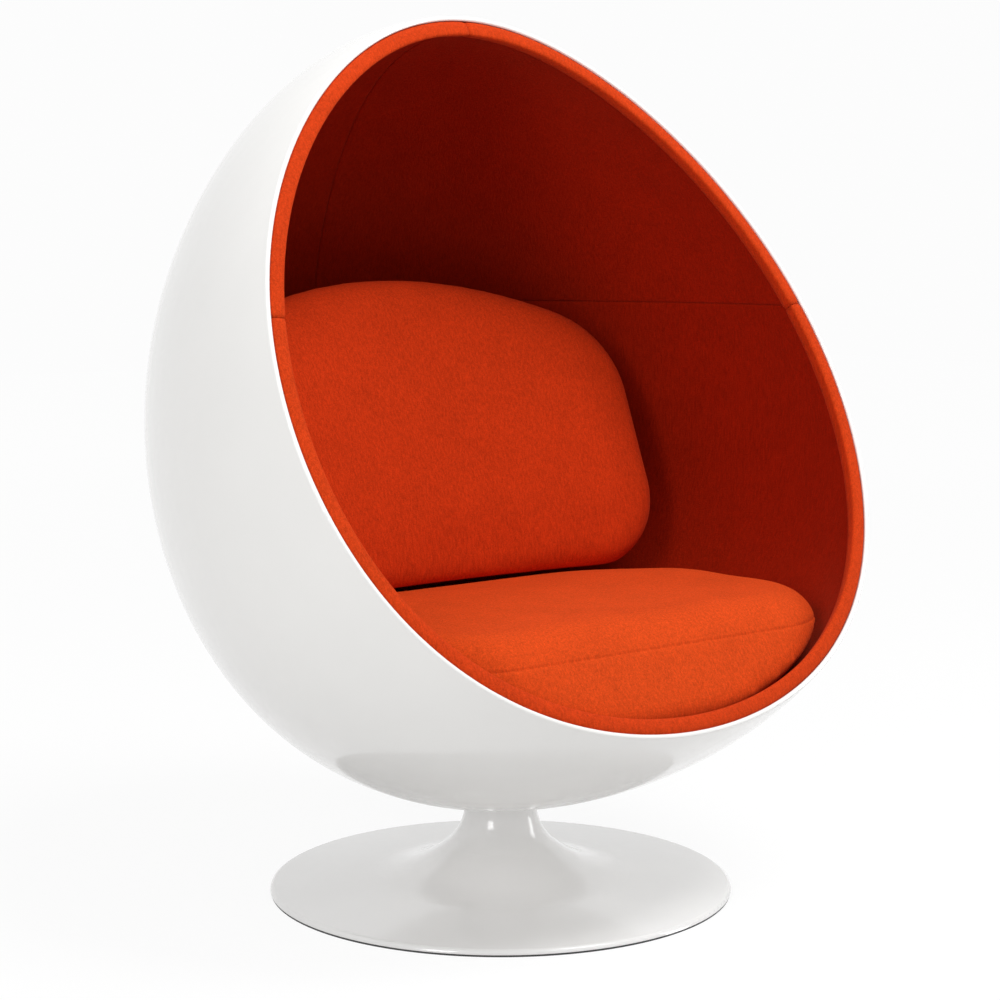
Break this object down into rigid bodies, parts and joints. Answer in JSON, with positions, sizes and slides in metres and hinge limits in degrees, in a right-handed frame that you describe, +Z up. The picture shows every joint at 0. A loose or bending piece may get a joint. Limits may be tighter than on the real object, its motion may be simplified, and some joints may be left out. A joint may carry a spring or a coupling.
{
  "type": "pod chair",
  "caption": "Egg-shaped lounge chair: a gloss shell with a felt-lined seating hollow, a seat and a back cushion, turning on a round trumpet pedestal.",
  "frame": {"origin": "on the floor, on the swivel axis of the pedestal", "axes": "+Z up, -Y towards the front, where the opening is, +X to the right of a viewer at the front"},
  "size_m": [1.0884, 0.942, 1.2985],
  "materials": {
    "shell_gloss": "white gel coat on glass fibre, polished",
    "pedestal_gloss": "gloss white lacquer",
    "lining_felt": "dense dark red-orange wool felt",
    "rim_felt": "orange wool felt over padding",
    "seat_felt": "orange wool upholstery fabric",
    "back_felt": "orange wool upholstery fabric",
    "lining_foam": "sheet foam",
    "support_foam": "firm cut foam",
    "cushion_foam": "moulded seat foam",
    "block_wood": "raw birch ply",
    "board_wood": "raw birch ply",
    "zinc_steel": "zinc-plated steel",
    "fastener_steel": "bright plated steel",
    "turned_steel": "turned and ground steel",
    "plate_steel": "black painted steel",
    "bearing_bronze": "sintered bronze",
    "collar_plastic": "moulded black plastic",
    "glide_rubber": "matt black rubber",
    "grip_tape": "hook-and-loop tape"
  },
  "bodies": {
    "pedestal": {"thrust_washer": "bearing_bronze", "upper_bush": "bearing_bronze", "lower_bush": "bearing_bronze", "pedestal_trumpet": "pedestal_gloss", "glide_ring": "glide_rubber", "base_plate": "plate_steel", "column_tube": "plate_steel", "neck_collar": "collar_plastic", "column_gussets": "plate_steel", "trumpet_tabs": "plate_steel", "base_screws": "fastener_steel", "bottom_cap": "glide_rubber"},
    "seat": {"outer_shell": "shell_gloss", "lining_foam": "lining_foam", "felt_left": "lining_felt", "felt_right": "lining_felt", "felt_lower": "lining_felt", "rim_roll_left": "rim_felt", "rim_roll_right": "rim_felt", "rim_roll_lower": "rim_felt", "mounting_block": "block_wood", "backing_plate": "zinc_steel", "shell_washers": "fastener_steel", "shell_bolts": "fastener_steel", "swivel_flange": "zinc_steel", "spindle": "turned_steel", "retaining_washer": "fastener_steel", "retaining_clip": "fastener_steel", "seat_support": "support_foam", "seat_board": "board_wood", "grip_tapes": "grip_tape", "seat_cushion_core": "cushion_foam", "seat_cushion_cover": "seat_felt", "back_cushion_core": "cushion_foam", "back_cushion_cover": "back_felt"}
  },
  "joints": [
    {"name": "seat_swivel", "type": "hinge", "parent": "pedestal", "child": "seat", "pos_m": [0, 0, 0.1161], "axis": [0, 0, 1], "continuous": true}
  ]
}
